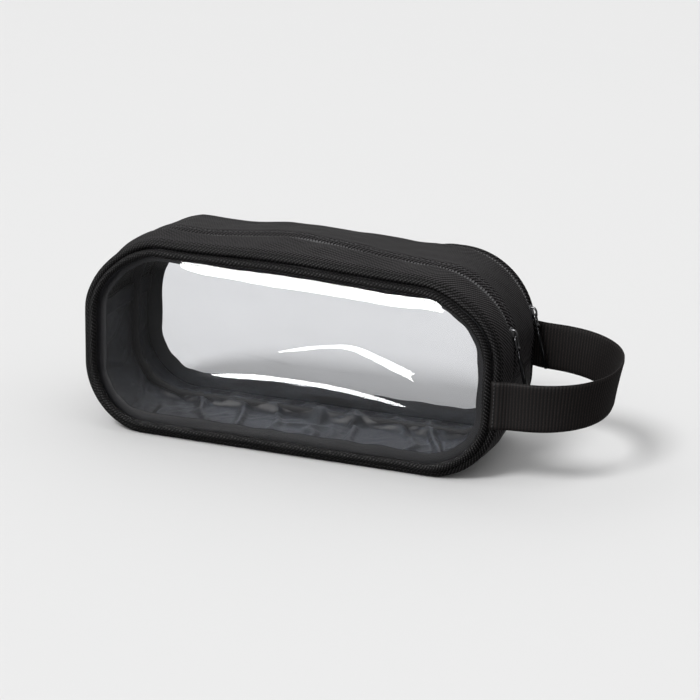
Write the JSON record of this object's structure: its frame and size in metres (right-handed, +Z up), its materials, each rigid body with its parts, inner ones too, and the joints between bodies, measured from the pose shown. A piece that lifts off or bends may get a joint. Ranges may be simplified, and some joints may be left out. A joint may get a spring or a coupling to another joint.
{
  "type": "clear toiletry pouch",
  "caption": "Clear-sided makeup pouch with a fabric gusset, zipped front and back compartments, piped window edges and a webbing loop at one end.",
  "frame": {"origin": "centre of the flat base that the pouch rests on", "axes": "+X towards the webbing loop, -Y out of the front window, +Z up"},
  "size_m": [0.2844, 0.088, 0.1095],
  "materials": {
    "gusset_twill": "black nylon twill, satin",
    "strip_twill": "black nylon twill, satin",
    "piping_twill": "black twill cut on the bias round a cord",
    "lining_cloth": "black plain-weave lining, slight sheen",
    "binding_tape": "black ribbed binding tape",
    "clear_vinyl": "clear flexible vinyl, glossy",
    "cord_core": "extruded piping core",
    "zip_tape": "black woven zip tape",
    "zip_coil": "black nylon coil",
    "slider_metal": "dark gunmetal plate, glossy",
    "webbing": "black ribbed polypropylene webbing",
    "thread": "black sewing thread"
  },
  "bodies": {
    "bag": {"bottom_gusset": "gusset_twill", "bottom_lining": "lining_cloth", "front_zip_strip": "strip_twill", "middle_zip_strip": "strip_twill", "back_zip_strip": "strip_twill", "left_end_binding": "binding_tape", "right_end_binding": "binding_tape", "front_window": "clear_vinyl", "back_window": "clear_vinyl", "divider_panel": "clear_vinyl", "divider_binding": "binding_tape", "front_piping": "piping_twill", "back_piping": "piping_twill", "front_piping_cord": "cord_core", "back_piping_cord": "cord_core", "front_seam_binding": "binding_tape", "back_seam_binding": "binding_tape", "front_zip_front_tape": "zip_tape", "front_zip_back_tape": "zip_tape", "front_zip_front_coil": "zip_coil", "front_zip_back_coil": "zip_coil", "front_zip_stops": "slider_metal", "back_zip_front_tape": "zip_tape", "back_zip_back_tape": "zip_tape", "back_zip_front_coil": "zip_coil", "back_zip_back_coil": "zip_coil", "back_zip_stops": "slider_metal", "front_strap_anchor": "webbing", "back_strap_anchor": "webbing", "strap_stitching": "thread"},
    "front_slider": {"front_zip_slider": "slider_metal"},
    "front_link": {"front_zip_link": "slider_metal"},
    "front_tab": {"front_zip_tab": "slider_metal"},
    "back_slider": {"back_zip_slider": "slider_metal"},
    "back_link": {"back_zip_link": "slider_metal"},
    "back_tab": {"back_zip_tab": "slider_metal"},
    "strap": {"strap_loop": "webbing"}
  },
  "joints": [
    {"name": "front_zip_run", "type": "hinge", "parent": "bag", "child": "front_slider", "pos_m": [0.072, -0.014, 0.061], "axis": [0, -1, 0], "range_deg": [0, 66]},
    {"name": "front_link_swing", "type": "hinge", "parent": "front_slider", "child": "front_link", "pos_m": [0.11621, -0.014, 0.07222], "axis": [0, -1, 0], "range_deg": [-6, 100]},
    {"name": "front_tab_swing", "type": "hinge", "parent": "front_link", "child": "front_tab", "pos_m": [0.11795, -0.014, 0.06596], "axis": [0, -1, 0], "range_deg": [-6, 60]},
    {"name": "back_zip_run", "type": "hinge", "parent": "bag", "child": "back_slider", "pos_m": [0.072, 0.031, 0.061], "axis": [0, -1, 0], "range_deg": [0, 66]},
    {"name": "back_link_swing", "type": "hinge", "parent": "back_slider", "child": "back_link", "pos_m": [0.11621, 0.031, 0.07222], "axis": [0, -1, 0], "range_deg": [-6, 100]},
    {"name": "back_tab_swing", "type": "hinge", "parent": "back_link", "child": "back_tab", "pos_m": [0.11795, 0.031, 0.06596], "axis": [0, -1, 0], "range_deg": [-6, 60]},
    {"name": "strap_swing", "type": "hinge", "parent": "bag", "child": "strap", "pos_m": [0.1283, 0, 0.0485], "axis": [0, -1, 0], "range_deg": [-50, 45]}
  ]
}
